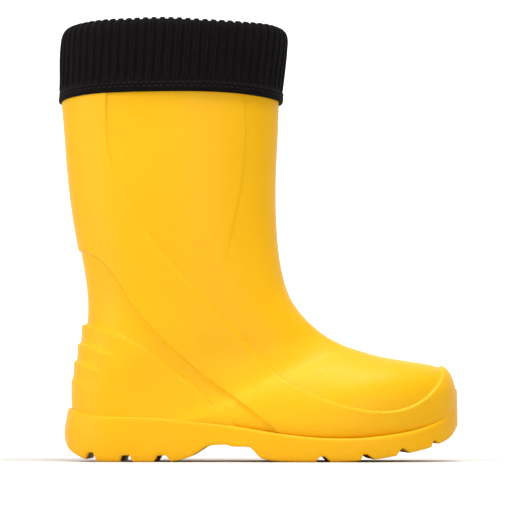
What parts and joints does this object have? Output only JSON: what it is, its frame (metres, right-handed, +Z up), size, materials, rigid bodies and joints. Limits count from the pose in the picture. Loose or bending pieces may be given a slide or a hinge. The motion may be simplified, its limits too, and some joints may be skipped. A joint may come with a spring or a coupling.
{
  "type": "deck boot",
  "caption": "Calf-high one-colour foam deck boot with a treaded sole, and a pull-out felt liner whose knitted cuff turns down over the rim.",
  "frame": {"origin": "on the floor, under the middle of the boot's box", "axes": "+X from heel to toe, +Y to the inner (medial) side of this right boot, +Z up"},
  "size_m": [0.2843, 0.0993, 0.3081],
  "materials": {
    "upper_foam": "satin",
    "sole_foam": "satin",
    "felt": "matte",
    "seam_tape": "matte",
    "rib_knit": "matte",
    "hem_tape": "matte",
    "thread": "matte"
  },
  "bodies": {
    "boot": {"leg_shaft": "upper_foam", "foot_shell": "upper_foam", "outsole": "sole_foam"},
    "liner": {"liner_sole_tray": "felt", "liner_lateral_panel": "felt", "liner_medial_panel": "felt", "liner_sole_seam": "seam_tape", "liner_front_seam": "seam_tape", "liner_back_seam": "seam_tape", "rib_cuff": "rib_knit", "cuff_hem_band": "hem_tape", "cuff_hem_stitching": "thread", "cuff_join_seam": "seam_tape"}
  },
  "joints": [
    {"name": "liner_pull_out", "type": "slide", "parent": "boot", "child": "liner", "axis": [0.0628, 0, 0.998], "range_m": [0, 0.31], "deforming": ["liner_sole_tray", "liner_lateral_panel", "liner_medial_panel", "liner_sole_seam", "liner_front_seam", "liner_back_seam"]}
  ]
}
